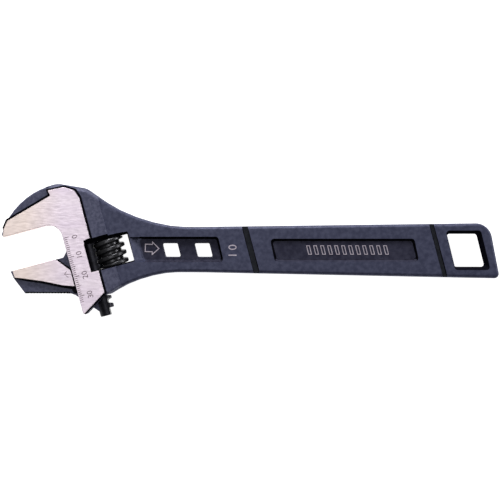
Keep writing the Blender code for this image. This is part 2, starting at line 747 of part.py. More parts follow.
def worm(place):
    """Core and thread together, trimmed flat at both ends, bored through, with a spring pocket on top."""
    core = [(WORM_ROOT, WORM_FOOT - PITCH / 2), (WORM_ROOT, WORM_TOP + PITCH / 2)]
    body = turned("worm", core, place)
    join(body, worm_thread(place))
    inner = WORM_RADIUS - WORM_END_CHAMFER
    outer = WORM_RADIUS + WORM_END_CHAMFER
    ends = [
        (inner, WORM_FOOT),
        (outer, WORM_FOOT + 2 * WORM_END_CHAMFER),
        (outer, WORM_TOP - 2 * WORM_END_CHAMFER),
        (inner, WORM_TOP),
    ]
    combine(body, turned("worm_ends", ends, place, False), "INTERSECT")
    pocket = SPRING_RADIUS + SPRING_WIRE + RUNNING_GAP
    seat = SPRING_TOP - SPRING_LENGTH - RUNNING_GAP
    bore = [(WORM_BORE, WORM_FOOT - CUT_OVER), (WORM_BORE, seat), (pocket, seat), (pocket, CUT_OVER)]
    cut(body, turned("worm_bore", bore, place))
    body.data.materials.append(metal("blackened_steel", (0.012, 0.012, 0.014), 0.3, 0.8))


def worm_pin(place):
    profile = [
        (PIN_HEAD_RADIUS - PIN_HEAD_CHAMFER, PIN_FOOT),
        (PIN_HEAD_RADIUS, PIN_FOOT + PIN_HEAD_CHAMFER),
        (PIN_HEAD_RADIUS, PIN_SHOULDER),
        (PIN_RADIUS, PIN_SHOULDER),
        (PIN_RADIUS, PIN_TIP - PIN_CHAMFER),
        (PIN_RADIUS - PIN_CHAMFER, PIN_TIP),
    ]
    pin = turned("worm_pin", profile, place)
    wide = 2 * PIN_HEAD_RADIUS
    corners = upright_box(-wide, wide, PIN_FOOT - CUT_OVER, PIN_FOOT + DRIVER_SLOT_DEPTH)
    cut(pin, slab("driver_slot", corners, DRIVER_SLOT_WIDTH, 0, place))
    pin.data.materials.append(metal("pin_steel", (0.10, 0.10, 0.11), 0.4, 0.9))


def worm_spring(place):
    """A coil round the pin, pressing the worm away from the upper end of its opening."""
    steps = SPRING_TURNS * SPRING_STEPS
    rise = SPRING_LENGTH - 2 * SPRING_WIRE
    around_wire = [2 * pi * k / SPRING_SIDES for k in range(SPRING_SIDES)]
    rings = []
    for i in range(steps + 1):
        angle = 2 * pi * i / SPRING_STEPS
        height = SPRING_TOP - SPRING_WIRE - rise * i / steps
        ring = []
        for turn in around_wire:
            radius = SPRING_RADIUS + SPRING_WIRE * cos(turn)
            ring.append((radius * sin(angle), height + SPRING_WIRE * sin(turn), radius * cos(angle)))
        rings.append(ring)
    spring = skinned("worm_spring", rings, place, smooth=True)
    spring.data.materials.append(metal("spring_steel", (0.30, 0.30, 0.32), 0.35, 1.0))


def main():
    for obj in list(bpy.data.objects):
        bpy.data.objects.remove(obj, do_unlink=True)
    frame = head_matrix()
    worm_axis = frame @ Matrix.Translation((WORM_X, 0, 0))
    wrench_body(frame)
    moving_jaw(frame)
    worm(worm_axis)
    worm_pin(worm_axis)
    worm_spring(worm_axis)


main()
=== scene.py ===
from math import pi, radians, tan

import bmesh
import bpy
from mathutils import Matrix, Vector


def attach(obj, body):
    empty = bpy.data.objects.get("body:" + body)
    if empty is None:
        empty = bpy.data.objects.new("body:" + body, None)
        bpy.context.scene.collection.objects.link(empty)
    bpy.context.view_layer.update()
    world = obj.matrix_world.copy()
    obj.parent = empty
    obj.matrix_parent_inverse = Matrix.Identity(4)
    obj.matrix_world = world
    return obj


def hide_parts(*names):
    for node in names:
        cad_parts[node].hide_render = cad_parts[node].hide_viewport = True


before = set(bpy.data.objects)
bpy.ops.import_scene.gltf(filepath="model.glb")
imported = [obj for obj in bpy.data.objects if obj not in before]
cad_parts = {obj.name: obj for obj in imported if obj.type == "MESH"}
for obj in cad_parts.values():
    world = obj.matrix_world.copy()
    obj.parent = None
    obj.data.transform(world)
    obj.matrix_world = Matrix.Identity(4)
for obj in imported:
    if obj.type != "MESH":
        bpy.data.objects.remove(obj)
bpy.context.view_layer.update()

# Adjustable wrench, as it looks lying on a white table. Everything is modelled in millimetres, in one of
# four places. FLAT has z = 0 in the middle of the wrench's thickness. HEAD is FLAT turned with the head:
# x runs from the slot's edge towards the handle, and y along the jaw's travel. RAIL and WORM are HEAD
# moved to the axis of the jaw's rail and of the worm.

MM = 0.001
MIDDLE = 7.75
HEAD_TURN = 15
RAIL_X = 11.55
WORM_X = 20.95
FLAT = Matrix.Translation((0, 0, MIDDLE))
HEAD = Matrix.Translation((-92, 1, MIDDLE)) @ Matrix.Rotation(radians(HEAD_TURN), 4, "Z")
RAIL = HEAD @ Matrix.Translation((RAIL_X, 0, 0))
WORM = HEAD @ Matrix.Translation((WORM_X, 0, 0))

# How finely round shapes are cut, and how the solids are joined and shaded.
ARC_STEP = radians(7)
TURN_STEPS = 48
SHARP = radians(32)
TINY = 0.001

# Heights of the wrench's faces above its middle.
PLATE_HALF = 7.73
MARK_TOP = 7.747
LEDGE_HALF = 7.2
JAW_LEDGE_HALF = 7.1
CHEEK_HALF = 7.0
BODY_HALF = 6.0
CORE_HALF = 5.5
GRIP_FLOOR = 4.5
WEB_FLOOR = 3.0
SLOT_HALF = 2.5
WEB_HALF = 2.2

# How far a cutter stands past what it cuts: above a face, and right through the wrench.
CUT_OVER = 4
THROUGH = 12

# The head's own lines, in HEAD.
FIXED_FACE = 13.35
MOVING_FACE = -4.15
THROAT_RADIUS = 7.1
STEP_X = 22
ROOM_FOOT = -14.75
ROOM_TOP = -0.95

SLANT = 0.25
PITCH = 4.0


# ---------------------------------------------------------------- finishes


def noise(tree, vector, scale, detail):
    node = tree.nodes.new("ShaderNodeTexNoise")
    node.inputs["Scale"].default_value = scale
    node.inputs["Detail"].default_value = detail
    tree.links.new(vector, node.inputs["Vector"])
    return node.outputs["Fac"]


def between(tree, value, low, high, start=0.35, end=0.65):
    node = tree.nodes.new("ShaderNodeMapRange")
    node.inputs["From Min"].default_value = start
    node.inputs["From Max"].default_value = end
    node.inputs["To Min"].default_value = low
    node.inputs["To Max"].default_value = high
    tree.links.new(value, node.inputs["Value"])
    return node.outputs["Result"]


def mixed(tree, factor, first, second):
    node = tree.nodes.new("ShaderNodeMix")
    node.data_type = "RGBA"
    tree.links.new(factor, node.inputs["Factor"])
    for socket, colour in ((node.inputs[6], first), (node.inputs[7], second)):
        if isinstance(colour, bpy.types.NodeSocket):
            tree.links.new(colour, socket)
        else:
            socket.default_value = (*colour, 1)
    return node.outputs[2]


def finish(name, dark, light, metallic, roughness, sheen=0.5, patch=450, grain=3500, stretch=(1, 1, 1)):
    """A metal finish: soft patches between two colours, with a fine grain in its gloss and relief."""
    fleck_share, gloss_swing, relief, relief_depth = 0.35, 0.06, 0.1, 0.0001
    material = bpy.data.materials.new(name)
    material.use_nodes = True
    tree = material.node_tree
    shader = tree.nodes["Principled BSDF"]
    place = tree.nodes.new("ShaderNodeTexCoord").outputs["Object"]
    lie = tree.nodes.new("ShaderNodeMapping")
    lie.inputs["Rotation"].default_value = (0, 0, radians(-HEAD_TURN))
    lie.inputs["Scale"].default_value = stretch
    tree.links.new(place, lie.inputs["Vector"])
    patches = noise(tree, lie.outputs["Vector"], patch, 3)
    grains = noise(tree, lie.outputs["Vector"], grain, 2)
    mottle = mixed(tree, between(tree, patches, 0, 1), dark, light)
    fleck = mixed(tree, between(tree, grains, 0, fleck_share), mottle, dark)
    tree.links.new(fleck, shader.inputs["Base Color"])
    gloss = between(tree, grains, roughness - gloss_swing, roughness + gloss_swing)
    tree.links.new(gloss, shader.inputs["Roughness"])
    shader.inputs["Metallic"].default_value = metallic
    shader.inputs["Specular IOR Level"].default_value = sheen
    bump = tree.nodes.new("ShaderNodeBump")
    bump.inputs["Strength"].default_value = relief
    bump.inputs["Distance"].default_value = relief_depth
    tree.links.new(grains, bump.inputs["Height"])
    tree.links.new(bump.outputs["Normal"], shader.inputs["Normal"])
    return material


def ground_finish():
    """Bright ground steel: fine grinding lines, and a warmer tint towards the jaws' tips."""
    lavender, pale, straw = (0.80, 0.69, 0.80), (0.86, 0.76, 0.84), (0.86, 0.73, 0.66)
    tint_share, tint_full, tint_ends = 0.85, -0.112, -0.094
    material = finish("bright_ground", lavender, pale, 0.75, 0.38, 0.5, 120, 2600, (0.12, 1, 1))
    tree = material.node_tree
    shader = tree.nodes["Principled BSDF"]
    ground = shader.inputs["Base Color"].links[0].from_socket
    place = tree.nodes.new("ShaderNodeTexCoord").outputs["Object"]
    parts = tree.nodes.new("ShaderNodeSeparateXYZ")
    tree.links.new(place, parts.inputs["Vector"])
    warmth = between(tree, parts.outputs["X"], tint_share, 0, tint_full, tint_ends)
    warm = mixed(tree, warmth, ground, straw)
    tree.links.new(warm, shader.inputs["Base Color"])
    return material


# Each finish: its dark and light colour, how metallic and how rough it is, then its sheen.
BLACK_FORGING = finish("black_finish", (0.045, 0.049, 0.094), (0.082, 0.088, 0.150), 0.2, 0.42, 0.22)
CHEEK_FORGING = finish(
    "cheek_finish", (0.062, 0.066, 0.118), (0.120, 0.124, 0.196), 0.2, 0.42, 0.25, 700, 3500
)
# Painted shade: a darker copy of the forging's finish for the panels' floors and the windows' walls, where
# shade falls.
RECESS_SHADE = finish("recess_painted_shade", (0.028, 0.028, 0.052), (0.054, 0.054, 0.088), 0.1, 0.6, 0.12)
# Painted shade: darker still, for the grooves across the handle.
GROOVE_SHADE = finish("groove_painted_shade", (0.014, 0.016, 0.022), (0.026, 0.028, 0.036), 0.1, 0.6, 0.12)
# Painted shade: near-black, without sheen, for the hanging hole's walls.
HOLE_SHADE = finish("hole_painted_shade", (0.005, 0.005, 0.009), (0.010, 0.010, 0.017), 0.0, 0.6, 0.0)
# Painted shade: near-black, without sheen, for walls, ledges, slots and gaps that lie in shadow.
EDGE_SHADE = finish("edge_painted_shade", (0.003, 0.003, 0.005), (0.007, 0.007, 0.010), 0.0, 0.6, 0.0)
GROUND = ground_finish()
BLACKENED = finish("worm_finish", (0.045, 0.045, 0.050), (0.075, 0.075, 0.082), 0.7, 0.3, 0.5, 300, 1200)
RACK_STEEL = finish("rack_finish", (0.014, 0.014, 0.019), (0.030, 0.030, 0.040), 0.6, 0.36, 0.3)
PIN_STEEL = finish("pin_finish", (0.06, 0.06, 0.07), (0.12, 0.12, 0.13), 0.9, 0.36)
SPRING_STEEL = finish("spring_finish", (0.25, 0.25, 0.27), (0.36, 0.36, 0.38), 1.0, 0.3)
PALE_MARK = finish("pale_mark", (0.50, 0.44, 0.52), (0.66, 0.60, 0.68), 0.3, 0.45)
SCALE_MARK = finish("scale_mark", (0.17, 0.12, 0.15), (0.28, 0.21, 0.25), 0.3, 0.5)


# ---------------------------------------------------------------- shaping


def outline_face(bm, corners, z):
    """A flat face through (x, y, radius) corners, each rounded by its radius."""
    verts = [bm.verts.new((x, y, z)) for x, y, radius in corners]
    bm.faces.new(verts)
    for i, vert in enumerate(verts):
        here = Vector(corners[i][:2])
        back = Vector(corners[i - 1][:2]) - here
        ahead = Vector(corners[(i + 1) % len(corners)][:2]) - here
        opening = back.angle(ahead)
        radius = corners[i][2]
        if radius > 0 and opening < pi - TINY:
            steps = max(2, round((pi - opening) / ARC_STEP))
            bevel(bm, [vert], radius / tan(opening / 2), steps, "VERTICES")


def bevel(bm, parts, width, steps, affect="EDGES"):
    """Round edges, or the corners of a flat face."""
    bmesh.ops.bevel(
        bm,
        geom=parts,
        offset=width,
        offset_type="OFFSET",
        segments=steps,
        profile=0.5,
        affect=affect,
        material=-1,
        clamp_overlap=False,
    )


def raise_faces(bm, faces, height, widen=(1, 1), about=(0, 0)):
    """Extrude faces upwards, and widen what was raised about a point. Returns the raised faces."""
    inner = [face for face in faces if not any(edge.is_boundary for edge in face.edges)]
    raised = bmesh.ops.extrude_face_region(bm, geom=faces)["geom"]
    bmesh.ops.delete(bm, geom=inner, context="FACES_ONLY")
    verts = [item for item in raised if isinstance(item, bmesh.types.BMVert)]
    bmesh.ops.translate(bm, vec=(0, 0, height), verts=verts)
    centre = Matrix.Translation((-about[0], -about[1], 0))
    bmesh.ops.scale(bm, vec=(*widen, 1), space=centre, verts=verts)
    return [item for item in raised if isinstance(item, bmesh.types.BMFace)]


def rim(bm, heights, test=None):
    """The edges that lie at one of the heights, and pass the test on their middle and direction."""
    found = []
    for edge in bm.edges:
        low, high = (vert.co for vert in edge.verts)
        level = any(abs(low.z - z) < TINY and abs(high.z - z) < TINY for z in heights)
        if level and (test is None or test((low + high) / 2, (high - low).normalized())):
            found.append(edge)
    return found


def solid(name, bm, place, material):
    """Turn a bmesh in millimetres into an object of the scene, its normals outwards."""
    bmesh.ops.transform(bm, matrix=Matrix.Scale(MM, 4) @ place, verts=bm.verts)
    bmesh.ops.recalc_face_normals(bm, faces=bm.faces)
    if bm.calc_volume(signed=True) < 0:
        bmesh.ops.reverse_faces(bm, faces=bm.faces)
    mesh = bpy.data.meshes.new(name)
    bm.to_mesh(mesh)
    bm.free()
    mesh.materials.append(material)
    obj = bpy.data.objects.new(name, mesh)
    bpy.context.scene.collection.objects.link(obj)
    return obj


def slab(name, corners, half, place, material, roll=0.0, steps=4):
    """A slab to both sides of the middle, with rolled rims."""
    bm = bmesh.new()
    outline_face(bm, corners, -half)
    raise_faces(bm, bm.faces[:], 2 * half)
    if roll > 0:
        bevel(bm, rim(bm, (-half, half)), roll, steps)
    return solid(name, bm, place, material)


def mirrored(bm, merge=-1.0):
    """Repeat everything below the middle, and merge what meets there if a distance is given."""
    whole = bm.verts[:] + bm.edges[:] + bm.faces[:]
    bmesh.ops.mirror(bm, geom=whole, matrix=Matrix.Identity(4), merge_dist=merge, axis="Z")


def extent(corners):
    """The middle of an outline's box, and the box's two sides."""
    xs, ys = [corner[0] for corner in corners], [corner[1] for corner in corners]
    middle = ((min(xs) + max(xs)) / 2, (min(ys) + max(ys)) / 2)
    return middle, (max(xs) - min(xs), max(ys) - min(ys))


def widening(sides, border):
    """The scale that adds a border all round a box with these sides."""
    return tuple((side + 2 * border) / side for side in sides)


def pocket(name, corners, floor, material, draft=0.6, lip=0.2, soft=0.4):
    """The room of a pocket in both faces: a soft floor edge, sloping walls and a lip at the surface; all
    walls but the lower one get painted black shade.
    """
    middle, sides = extent(corners)
    walls = [side + 2 * draft for side in sides]
    bm = bmesh.new()
    outline_face(bm, corners, floor)
    raise_faces(bm, bm.faces[:], BODY_HALF - lip - floor, widening(sides, draft), middle)
    bevel(bm, rim(bm, (floor,)), soft, 3)
    top = [face for face in bm.faces if min(v.co.z for v in face.verts) > BODY_HALF - lip - TINY]
    top = raise_faces(bm, top, lip, widening(walls, lip), middle)
    raise_faces(bm, top, CUT_OVER)
    mirrored(bm)
    return with_painted_shade(solid(name, bm, FLAT, material), -0.5)


def with_painted_shade(room, least_y):
    """Paint shade on a room's walls: blacken them, apart from those whose normal has a smaller y than this.
    """
    level = 0.97
    room.data.materials.append(EDGE_SHADE)
    for side in room.data.polygons:
        if abs(side.normal.z) < level and side.normal.y > least_y:
            side.material_index = 1
    return room


def drafted_hole(name, corners, draft, surface, material, lip, lean=0.0):
    """A through hole whose walls draw in from both faces to a waist, which may lie off the middle."""
    middle, sides = extent(corners)
    mouth_sides = [side + 2 * draft for side in sides]
    bm = bmesh.new()
    outline_face(bm, corners, 0)
    top = raise_faces(bm, bm.faces[:], surface - lip, widening(sides, draft), middle)
    mouth = list({vert for face in top for vert in face.verts})
    bmesh.ops.translate(bm, vec=(lean, 0, 0), verts=mouth)
    top = raise_faces(bm, top, lip, widening(mouth_sides, lip), middle)
    raise_faces(bm, top, CUT_OVER)
    waist = [face for face in bm.faces if max(v.co.z for v in face.verts) < TINY]
    bmesh.ops.delete(bm, geom=waist, context="FACES_ONLY")
    mirrored(bm, merge=TINY)
    return solid(name, bm, FLAT, material)


def turned(name, profile, place, material):
    """A solid turned about the y axis from (radius, y) corners that start and end on the axis."""
    bm = bmesh.new()
    verts = [bm.verts.new((0, y, radius)) for radius, y in profile]
    edges = [bm.edges.new(pair) for pair in zip(verts, verts[1:])]
    axis = {"cent": (0, 0, 0), "axis": (0, 1, 0)}
    bmesh.ops.spin(bm, geom=verts + edges, angle=2 * pi, steps=TURN_STEPS, use_merge=True, **axis)
    bmesh.ops.remove_doubles(bm, verts=bm.verts, dist=TINY)
    return solid(name, bm, place, material)


def worked(target, operation, *tools):
    """Join, cut or trim target with tools, and remove them."""
    for tool in tools:
        step = target.modifiers.new(tool.name, "BOOLEAN")
        step.object = tool
        step.operation = operation
        step.solver = "MANIFOLD"
        step.material_mode = "TRANSFER"
    settle(target)
    for tool in tools:
        bpy.data.objects.remove(tool)


def settle(target):
    """Make the result of target's modifiers its mesh."""
    bpy.context.view_layer.update()
    shaped = target.evaluated_get(bpy.context.evaluated_depsgraph_get())
    mesh = bpy.data.meshes.new_from_object(shaped)
    target.modifiers.clear()
    target.data = mesh


def smooth(obj):
    """Shade smooth between sharp edges, with flat faces kept even."""
    obj.data.shade_smooth()
    obj.data.set_sharp_from_angle(angle=SHARP)
    weight = obj.modifiers.new("even_flats", "WEIGHTED_NORMAL")
    weight.keep_sharp = True
    weight.weight = 100


def belongs(obj, body, slot, *nodes):
    """The piece rides its body and stands for CAD nodes; its slot is not used."""
    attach(obj, body)
    if nodes:
        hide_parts(*nodes)


def slanted(left, right, low, high, radius):
    """A box outline whose ends lean as the handle's cuts do; left and right are at y = 0."""
    return [(x - SLANT * y, y, radius) for x, y in ((left, low), (right, low), (right, high), (left, high))]


def from_head(x, y, radius):
    """A corner of the head, as a corner in FLAT."""
    place = HEAD @ Vector((x, y, 0))
    return (place.x, place.y, radius)


# ---------------------------------------------------------------- forged body


def cheek():
    """The thicker part of the head beside the ground face, up to the step across it."""
    crown_roll, foot_roll, step_roll = 1.9, 1.0, 0.5
    corners = [
        (2, -20, 0),
        (12.6, -27.0, 0.5),
        (15.4, -27.4, 1.2),
        (STEP_X, -25.3, 0),
        (STEP_X, 20.2, 0),
        (17.3, 25.6, 4.5),
        (3.9, 31.8, 8.5),
        (-1.25, 31.6, 0.2),
        (-0.6, 25, 0),
    ]
    bm = bmesh.new()
    outline_face(bm, corners, -CHEEK_HALF)
    raise_faces(bm, bm.faces[:], 2 * CHEEK_HALF)
    both = (-CHEEK_HALF, CHEEK_HALF)
    bevel(bm, rim(bm, both, lambda mid, way: mid.y > 20.25 and abs(way.x) > 0.3), crown_roll, 5)
    bevel(bm, rim(bm, both, lambda mid, way: mid.y < -24 and mid.x > 12), foot_roll, 4)
    bevel(bm, rim(bm, both, lambda mid, way: mid.x > STEP_X - 0.1), step_roll, 3)
    return solid("cheek", bm, HEAD, CHEEK_FORGING)


def jaw_end():
    """The fixed jaw and the head round the ground face."""
    corners = [
        (-30.15, 13.4, 1.3),
        (0.05, 13.4, 7.15),
        (0.05, -35.5, 1.3),
        (13, -27.6, 0.6),
        (14.8, -28.0, 1.0),
        (16, -22, 0),
        (8, 26, 0),
        (-1.2, 31.9, 0.5),
        (-18.78, 31.54, 32),
    ]
    return slab("jaw_end", corners, BODY_HALF, HEAD, CHEEK_FORGING, 0.9)


def painted_shade_ledge():
    """The low border round the ground face, coloured black as painted shade along the step's shadowed side.
    """
    corners = [
        (-27.2, 14.3, 0),
        (1.0, 14.3, THROAT_RADIUS),
        (0.8, -34.75, 0.3),
        (14.15, -26.95, 0.6),
        (14.15, 22.9, 1),
        (12.6, 27.3, 2),
        (7.35, 30.45, 4),
        (-2.05, 30.75, 0.5),
        (-1.5, 28.1, 0.5),
        (-25.1, 21.5, 1),
        (-27.95, 17.8, 1),
    ]
    return slab("painted_shade_ledge", corners, LEDGE_HALF, HEAD, EDGE_SHADE, 0.15, 2)


def ground_plate():
    """The bright ground face, with the fixed jaw's face and throat."""
    corners = [
        (-28.85, FIXED_FACE, 0.3),
        (0, FIXED_FACE, THROAT_RADIUS),
        (0, -34.5, 0.6),
        (13, -26.4, 0.6),
        (13, 22.6, 1),
        (11.6, 26.6, 2),
        (7, 29.6, 4),
        (-1.3, 30, 0.4),
        (-0.7, 27.2, 0.4),
        (-24.5, 20.6, 1),
        (-27.3, 17.3, 1),
    ]
    return slab("ground_plate", corners, PLATE_HALF, HEAD, GROUND, 0.25, 3)


def worm_room():
    """The worm's opening, a black band of painted shade round it, and the arched thumb relief over it at
    both faces, its walls painted black as shade.
    """
    left, right, wall = 9.5, 31.4, 31.8
    ends = ((left, ROOM_FOOT), (right, ROOM_FOOT), (right, ROOM_TOP), (left, ROOM_TOP))
    opening = [(x, y, 0.5) for x, y in ends]
    tools = [slab("worm_room", opening, THROUGH, HEAD, EDGE_SHADE)]
    shade_bands = ((9.2, 13.0, 0.3, 7.45), (13.0, 22.1, 0.6, 6.65), (22.1, 32.0, 0.6, 5.65))
    for number, (start, end, wide, floor) in enumerate(shade_bands):
        low, high = ROOM_FOOT - wide, ROOM_TOP + wide
        bm = bmesh.new()
        outline_face(bm, [(start, low, 0), (end, low, 0), (end, high, 0), (start, high, 0)], floor)
        raise_faces(bm, bm.faces[:], CUT_OVER)
        mirrored(bm)
        tools.append(solid(f"border_{number}", bm, HEAD, EDGE_SHADE))
    middle, height, depth, foot = -7.85, 11.75, 7.45, -0.7
    arch = [(left, middle, 0), (wall, middle, 0), (wall, 2.6, 0), (22.65, 7.6, 30), (left, 3.2, 0)]
    bm = bmesh.new()
    outline_face(bm, arch, height)
    raise_faces(bm, bm.faces[:], -depth, (1, 0.04), (0, foot))
    mirrored(bm)
    tools.append(solid("thumb_relief", bm, HEAD, EDGE_SHADE))
    return tools


def web_ramp():
    """The slope that leads from the worm's opening down to the web panel's floor."""
    run, rise = 4.9, 3.2
    bm = bmesh.new()
    outline_face(bm, slanted(-54.9, -53, -5.15, 5.7, 0), WEB_FLOOR + 0.02)
    top = raise_faces(bm, bm.faces[:], rise, (1, 1.15), (0, 0.27))
    left = {vert for face in top for vert in face.verts if vert.co.x < -53.9 - SLANT * vert.co.y}
    bmesh.ops.translate(bm, vec=(-run, 0, 0), verts=list(left))
    mirrored(bm)
    # Painted shade: the ramp's upper wall is coloured black.
    return with_painted_shade(solid("web_ramp", bm, FLAT, BLACK_FORGING), 0.5)


def handle_rooms():
    """What is cut into the handle: panel, ramp and windows behind the head, grip, grooves and hole."""
    web = slanted(-54.4, -15.3, -5.15, 5.7, 1.6)
    grip = slanted(12.1, 82.3, -4.75, 4.65, 1.6)
    hanging = slanted(100.5, 115.6, -8.4, 8.1, 1.4)
    # The panels, grooves, hanging hole and windows give the faces they cut darker finishes of painted
    # shade.
    tools = [
        pocket("web_panel", web, WEB_FLOOR, RECESS_SHADE, 0.75),
        web_ramp(),
        pocket("grip_panel", grip, GRIP_FLOOR, RECESS_SHADE, 0.8),
    ]
    for name, left, right in (("inner_groove", -1.05, 1.85), ("outer_groove", 92.9, 95.1)):
        across = slanted(left, right, -20, 20, 0)
        tools.append(pocket(name, across, 5.0, GROOVE_SHADE, 0.4, 0.1, 0.2))
    tools.append(drafted_hole("hanging_hole", hanging, 1.3, BODY_HALF, HOLE_SHADE, 0.35, 0.8))
    for number in range(2):
        left = -42.9 + 16 * number
        window = slanted(left, left + 7.3, -3.35, 3.35, 0.7)
        tools.append(drafted_hole(f"window_{number}", window, 0.25, WEB_FLOOR, RECESS_SHADE, 0.25))
    return tools


def jaw_ways():
    """The slot and the bore that the moving jaw slides in, their walls painted black as shade."""
    slot = [
        (-1, -42, 0),
        (RAIL_X, -42, 0),
        (RAIL_X, 26.05, 0),
        (4.95, 25.45, 0),
        (-0.05, 18.35, 0),
        (-1.15, 15.55, 0),
        (-3.15, FIXED_FACE, 0),
        (-7.1, 13.3, 0),
        (-7.1, 9.8, 0),
        (-1, 0, 0),
    ]
    bore = [(0, -46), (4.2, -46), (4.2, 26.8), (0, 26.8)]
    return [
        slab("web_slot", slot, SLOT_HALF, HEAD, EDGE_SHADE),
        turned("rail_room", bore, RAIL, EDGE_SHADE),
    ]


def forged_body():
    handle = [
        from_head(6, 10, 0),
        from_head(6, -20, 0),
        from_head(12, -26, 0),
        from_head(15.3, -28.15, 2.5),
        (-52.5, -11.15, 55),
        (-25, -11.15, 300),
        (125, -14.25, 2.4),
        (119.7, 13.5, 8),
        (-25, 11.6, 300),
        (-54, 11.6, 70),
        from_head(17.63, 26.18, 5),
        from_head(4.03, 32.41, 9),
        from_head(-2.5, 32.1, 0.5),
    ]
    pin_room = [(0, -36), (2.9, -36), (2.9, -21.6), (2.3, -21.6), (2.3, 5), (0, 5)]
    body = slab("forged_body", handle, BODY_HALF, FLAT, BLACK_FORGING, 1.8, 6)
    worked(body, "UNION", jaw_end(), cheek(), painted_shade_ledge(), ground_plate())
    # The pin's bore walls are painted black as shade.
    bore = turned("pin_room", pin_room, WORM, EDGE_SHADE)
    worked(body, "DIFFERENCE", *worm_room(), *jaw_ways(), bore, *handle_rooms())
    smooth(body)
    belongs(body, "body", "black_forging", "wrench_body")


# ---------------------------------------------------------------- sliding jaw


def rack_cuts():
    """The gaps between the rack's teeth, each leaning by the worm's lead, the plain end and flat tips."""
    top_gap, lean, half_height = 8.29, 1.025, 5.05
    root_x, root_half, root_round = 13.22, 0.97, 0.6
    mouth_x, mouth_half = 16.7, 1.69
    tools = []
    for number in range(11):
        y = top_gap - PITCH * number
        gap = [
            (root_x, y - root_half, root_round),
            (mouth_x, y - mouth_half, 0),
            (mouth_x, y + mouth_half, 0),
            (root_x, y + root_half, root_round),
        ]
        bm = bmesh.new()
        outline_face(bm, gap, -half_height)
        raised = raise_faces(bm, bm.faces[:], 2 * half_height)
        verts = list({vert for face in raised for vert in face.verts})
        bmesh.ops.translate(bm, vec=(0, lean, 0), verts=verts)
        tools.append(solid(f"rack_gap_{number}", bm, HEAD, RACK_STEEL))
    end = [(13.05, -42, 0), (20, -42, 0), (20, -34.45, 0), (13.05, -34.45, 0)]
    tips = [(15.4, -42, 0), (20, -42, 0), (20, 12, 0), (15.4, 12, 0)]
    tools.append(slab("rack_end", end, THROUGH, HEAD, RACK_STEEL))
    tools.append(slab("rack_tips", tips, THROUGH, HEAD, RACK_STEEL))
    return tools


def grip_teeth():
    """The V gaps of the toothed pipe-grip edge, their walls painted black as shade."""
    start, end = Vector((-25.5, -16.65)), Vector((-3.6, -22.55))
    along = (end - start).normalized()
    inward = Vector((-along.y, along.x))
    pitch, depth, below_edge = 1.5, 0.7, 0.6
    tools = []
    for number in range(13):
        foot = start + along * pitch * (number + 1)
        below = foot - inward * below_edge
        peak = foot + along * 0.4 + inward * depth
        points = [below - along * 0.15, below + along * 1.35, foot + along * 1.2, peak]
        corners = [(point.x, point.y, 0) for point in points]
        tools.append(slab(f"tooth_gap_{number}", corners, THROUGH, HEAD, EDGE_SHADE))
    return tools


def jaw_core():
    """The jaw's forging, from its smooth face to its toothed edge."""
    corners = [
        (-29.75, -4.2, 0),
        (-29.1, -7.95, 0.5),
        (-25.5, -16.65, 0.4),
        (-3.75, -22.55, 0.4),
        (-0.35, -23.75, 0),
        (-0.35, -11.55, 0),
        (-6.4, -4.2, 0),
    ]
    return slab("sliding_jaw", corners, CORE_HALF, HEAD, CHEEK_FORGING, 0.3, 3)


def jaw_shade_ledge():
    """The low border round the jaw's ground face, coloured black as painted shade along its step and the
    shadow beside the slot.
    """
    corners = [
        (-28.0, -5.5, 0),
        (-28.5, -8.15, 0.2),
        (-24.2, -10.4, 0.3),
        (-15.95, -14.0, 0.5),
        (-6.15, -18.9, 0.5),
        (-2.3, -20.6, 0),
        (-1.9, -22.7, 0),
        (-0.33, -23.4, 0),
        (-0.33, -10.75, 0),
        (-5.75, -4.25, 0),
    ]
    return slab("jaw_shade_ledge", corners, JAW_LEDGE_HALF, HEAD, EDGE_SHADE, 0.15, 2)


def jaw_plate():
    """The jaw's bright ground face."""
    corners = [
        (-28.55, MOVING_FACE, 0.2),
        (-28.3, -7.75, 0.3),
        (-23.8, -9.45, 0.6),
        (-15.5, -12.95, 3),
        (-5.7, -17.85, 3),
        (-0.55, -19.6, 0),
        (-0.55, -11.3, 0),
        (-6.35, MOVING_FACE, 0),
    ]
    return slab("jaw_plate", corners, PLATE_HALF, HEAD, GROUND, 0.14, 3)


def jaw_web():
    """The thin web that joins the jaw to its rail through the head's slot."""
    corners = [
        (-4, -22.35, 0),
        (-1.6, -24.05, 0),
        (0.2, -26.35, 1),
        (5.6, -32.6, 0.5),
        (7.8, -35.1, 0),
        (RAIL_X, -35.1, 0),
        (RAIL_X, 7.9, 0),
        (5.3, 7.9, 0),
        (0.3, 0.8, 1),
        (-0.8, -2, 1),
        (-2.8, -4.2, 0.5),
        (-8, -4.25, 0),
        (-8, -15, 0),
    ]
    return slab("jaw_web", corners, WEB_HALF, HEAD, CHEEK_FORGING, 0.12, 2)


def sliding_jaw():
    # A near-black strip along the toothed edge: painted shade.
    edge = [(-25.3, -16.63, 0), (-3.9, -22.43, 0), (-3.7, -21.73, 0), (-25.1, -15.93, 0)]
    rail = [(0, -38), (3.45, -38), (3.85, -37.8), (4.05, -37.4), (4.05, 7.9), (3.45, 8.5), (0, 8.5)]
    jaw = jaw_core()
    worked(
        jaw,
        "UNION",
        jaw_shade_ledge(),
        jaw_plate(),
        slab("grip_edge", edge, CORE_HALF + 0.02, HEAD, EDGE_SHADE),
        jaw_web(),
        turned("jaw_rail", rail, RAIL, RACK_STEEL),
    )
    worked(jaw, "DIFFERENCE", *rack_cuts(), *grip_teeth())
    smooth(jaw)
    belongs(jaw, "jaw", "ground_steel", "moving_jaw")


# ---------------------------------------------------------------- worm, pin and spring


